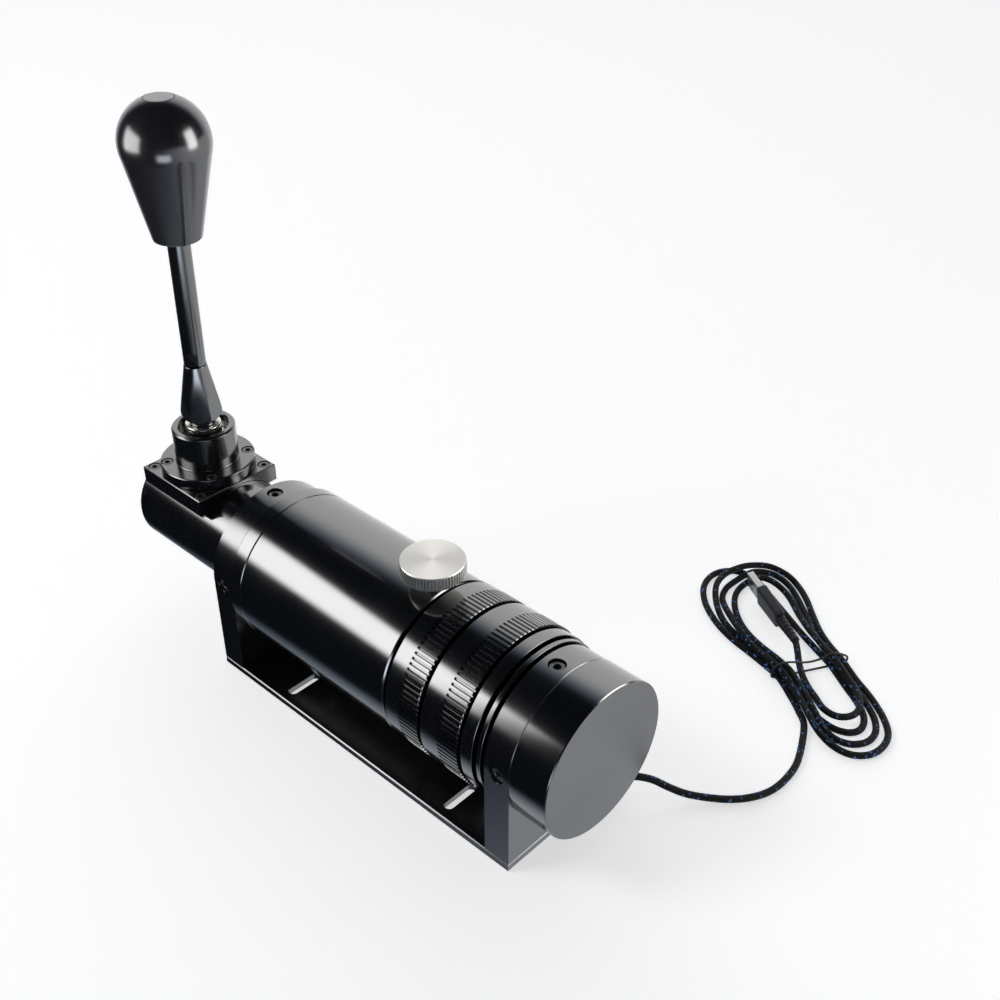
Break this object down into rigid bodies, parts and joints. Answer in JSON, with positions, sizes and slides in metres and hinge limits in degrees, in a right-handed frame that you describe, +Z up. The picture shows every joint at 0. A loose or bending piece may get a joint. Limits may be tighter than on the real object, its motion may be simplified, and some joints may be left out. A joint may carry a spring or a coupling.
{
  "type": "gear lever controller",
  "caption": "Desk-mounted gear lever controller: tall round-knob lever on a gimbal turret, tubular black body with two knurled rings, slotted base and USB lead.",
  "frame": {"origin": "on the standing surface, under the middle of the body without its lead", "axes": "+X along the body towards the flat end cap, the lever stands at -X; +Z up; -Y is the side away from the lead"},
  "size_m": [0.4353, 0.3128, 0.3316],
  "materials": {
    "black_anodised": "satin black anodised",
    "black_screw_steel": "black oxide",
    "bright_steel": "turned",
    "silver_aluminium": "machined, clear",
    "bearing_brass": "satin",
    "black_knob_gloss": "polished",
    "grey_insert": "satin",
    "white_plastic": "moulded",
    "circuit_board": "coated",
    "black_braid": "braided sleeve with blue flecks",
    "black_plastic": "moulded",
    "plug_shell": "plated"
  },
  "bodies": {
    "housing": {"base_plate": "black_anodised", "rear_bracket": "black_anodised", "front_bracket": "black_anodised", "rear_tube": "black_anodised", "rear_end_cap": "black_anodised", "core_tube": "black_anodised", "rear_collar": "black_anodised", "main_sleeve": "black_anodised", "guide_ring": "black_anodised", "retaining_ring": "black_anodised", "front_end_cap": "black_anodised", "turret_block": "black_anodised", "turret_housing": "black_anodised", "rear_top_screw": "black_screw_steel", "rear_left_screw": "black_screw_steel", "rear_right_screw": "black_screw_steel", "front_top_screw": "black_screw_steel", "front_left_screw": "black_screw_steel", "front_right_screw": "black_screw_steel", "block_screw_1": "black_screw_steel", "block_screw_2": "black_screw_steel", "block_screw_3": "black_screw_steel", "block_screw_4": "black_screw_steel", "flange_screw_1": "black_screw_steel", "flange_screw_2": "black_screw_steel", "flange_screw_3": "black_screw_steel", "flange_screw_4": "black_screw_steel", "base_screw_rear_left": "bright_steel", "base_screw_rear_right": "bright_steel", "base_screw_front_left": "bright_steel", "base_screw_front_right": "bright_steel", "dust_ring": "bright_steel", "centring_spring_rear": "bright_steel", "centring_spring_front": "bright_steel", "rear_bush": "bearing_brass", "front_bush": "bearing_brass", "sensor_board": "circuit_board", "usb_lead": "black_braid", "cable_hank": "black_braid", "cable_gland": "black_plastic", "cable_tie": "black_plastic", "usb_grip": "black_plastic", "usb_shell": "plug_shell"},
    "gimbal": {"gimbal_ring": "bright_steel"},
    "lever": {"lever_stem": "bright_steel", "cross_pin": "bright_steel", "lever_spacer": "silver_aluminium", "lever_coupler": "black_anodised", "lever_shaft": "black_anodised", "lever_knob": "black_knob_gloss", "knob_insert": "grey_insert"},
    "carriage": {"position_carriage": "white_plastic"},
    "selector": {"selector_shaft": "bright_steel", "selector_yoke": "bright_steel"},
    "ring_rear": {"tension_ring_rear": "black_anodised"},
    "ring_front": {"tension_ring_front": "black_anodised"},
    "lock_pad": {"lock_pad": "bearing_brass"},
    "thumb_screw": {"thumb_screw": "silver_aluminium"}
  },
  "joints": [
    {"name": "lever_side", "type": "hinge", "parent": "housing", "child": "gimbal", "pos_m": [-0.1421, 0, 0.112], "axis": [1, 0, 0], "range_deg": [-7, 7], "stiffness_Nm_per_rad": 6},
    {"name": "lever_fore_aft", "type": "hinge", "parent": "gimbal", "child": "lever", "pos_m": [-0.1421, 0, 0.112], "axis": [0, 1, 0], "range_deg": [-11, 11], "stiffness_Nm_per_rad": 12},
    {"name": "selector_slide", "type": "slide", "parent": "housing", "child": "carriage", "axis": [1, 0, 0], "range_m": [-0.0055, 0.0055], "deforming": ["centring_spring_rear", "centring_spring_front"]},
    {"name": "selector_turn", "type": "hinge", "parent": "carriage", "child": "selector", "pos_m": [0, 0, 0.0648], "axis": [1, 0, 0], "range_deg": [-9, 9]},
    {"name": "ring_rear_turn", "type": "hinge", "parent": "housing", "child": "ring_rear", "pos_m": [0.081, 0, 0.0648], "axis": [1, 0, 0], "range_deg": [-150, 150]},
    {"name": "ring_front_turn", "type": "hinge", "parent": "housing", "child": "ring_front", "pos_m": [0.1088, 0, 0.0648], "axis": [1, 0, 0], "range_deg": [-150, 150]},
    {"name": "thumb_travel", "type": "slide", "parent": "housing", "child": "lock_pad", "axis": [0, 0, 1], "range_m": [0, 0.00375]},
    {"name": "thumb_turn", "type": "hinge", "parent": "lock_pad", "child": "thumb_screw", "pos_m": [0.0592, 0, 0.1215], "axis": [0, 0, 1], "range_deg": [0, 1080]}
  ],
  "couplings": [
    {"joint": "selector_slide", "follows": "lever_fore_aft", "m_per_rad": -0.0251},
    {"joint": "selector_turn", "follows": "lever_side", "ratio": -1.145},
    {"joint": "thumb_turn", "follows": "thumb_travel", "rad_per_m": 5026.5}
  ]
}
